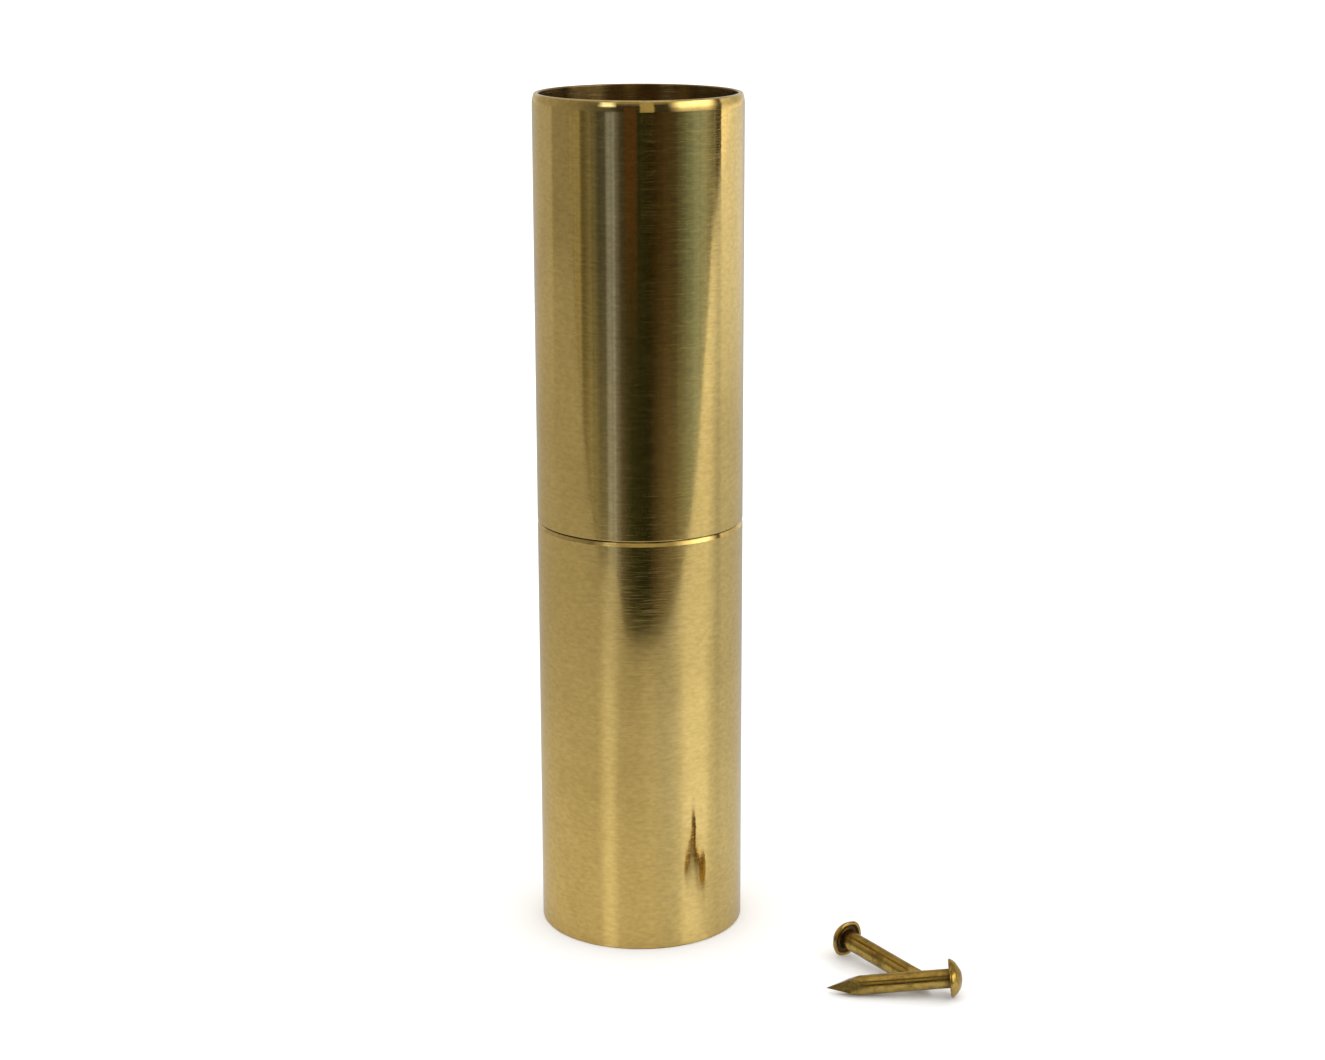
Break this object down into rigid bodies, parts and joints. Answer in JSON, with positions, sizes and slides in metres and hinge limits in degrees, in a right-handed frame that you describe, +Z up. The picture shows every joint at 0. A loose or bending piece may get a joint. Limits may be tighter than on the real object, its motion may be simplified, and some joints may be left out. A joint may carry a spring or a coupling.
{
  "type": "mezuzah case",
  "caption": "Plain round brass mezuzah case split at mid-height, open at the top, holding a rolled parchment, with its loose fixing nails beside it.",
  "frame": {"origin": "on the tube's axis, in the plane of its bottom edge, where it stands", "axes": "+Z up along the tube; +Y towards the doorpost, through the rear wall with the nail holes; the front faces -Y"},
  "size_m": [0.0508, 0.042, 0.1044],
  "materials": {
    "case_brass": "polished, fine circumferential brush marks",
    "inner_brass": "unpolished tube stock",
    "nail_brass": "dull, slightly tarnished",
    "parchment": "matte parchment",
    "wrap": "thin matte wrap"
  },
  "bodies": {
    "lower_case": {"lower_tube": "case_brass", "floor_plug": "inner_brass"},
    "sleeve": {"coupling_sleeve": "inner_brass"},
    "upper_case": {"upper_tube": "case_brass"},
    "scroll": {"parchment_scroll": "parchment"},
    "wrap": {"scroll_wrap": "wrap"},
    "nail_behind": {"rear_nail": "nail_brass"},
    "nail_in_front": {"front_nail": "nail_brass"}
  },
  "joints": [
    {"name": "sleeve_turn", "type": "hinge", "parent": "lower_case", "child": "sleeve", "pos_m": [0, 0, 0.0522], "axis": [0, 0, 1], "continuous": true},
    {"name": "upper_pull", "type": "slide", "parent": "sleeve", "child": "upper_case", "axis": [0, 0, 1], "range_m": [0, 0.05]},
    {"name": "scroll_lift", "type": "slide", "parent": "lower_case", "child": "scroll", "axis": [0, 0, 1], "range_m": [0, 0.1]},
    {"name": "wrap_slip", "type": "slide", "parent": "scroll", "child": "wrap", "axis": [0, 0, 1], "range_m": [0, 0.085]},
    {"name": "rear_nail_draw", "type": "slide", "parent": "lower_case", "child": "nail_behind", "axis": [0, 1, 0], "range_m": [0, 0.03]},
    {"name": "front_nail_lift", "type": "slide", "parent": "lower_case", "child": "nail_in_front", "axis": [0, 0, 1], "range_m": [0, 0.03]}
  ]
}
